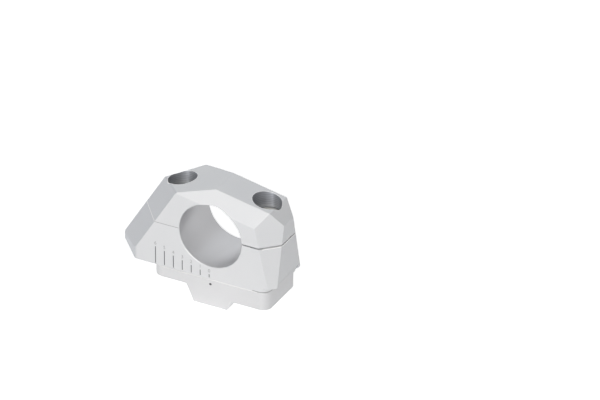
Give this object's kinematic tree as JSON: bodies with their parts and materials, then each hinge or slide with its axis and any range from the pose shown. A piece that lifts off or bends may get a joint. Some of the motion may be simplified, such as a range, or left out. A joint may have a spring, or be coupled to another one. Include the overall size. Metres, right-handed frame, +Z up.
{
  "type": "motorcycle bar riser",
  "caption": "Facetted two-part clamp for a handlebar that slides on a dovetail across a keyed foot block, with a travel scale.",
  "frame": {"origin": "middle of the bar bore, on its axis", "axes": "+X along the slide towards the flat end, +Y along the handlebar away from the scale, +Z up out of the roof"},
  "size_m": [0.0764, 0.026, 0.0527],
  "materials": {
    "clamp_metal": "satin silver anodised",
    "body_metal": "satin silver anodised",
    "base_metal": "satin silver anodised",
    "gib_metal": "ground",
    "screw_metal": "dark, oiled"
  },
  "bodies": {
    "foot": {"base": "base_metal"},
    "clamp": {"upper_clamp": "clamp_metal", "clamp_body": "body_metal", "gib": "gib_metal", "gib_screw_left": "screw_metal", "gib_screw_right": "screw_metal"}
  },
  "joints": [
    {"name": "clamp_slide", "type": "slide", "parent": "foot", "child": "clamp", "axis": [1, 0, 0], "range_m": [0, 0.025]}
  ]
}
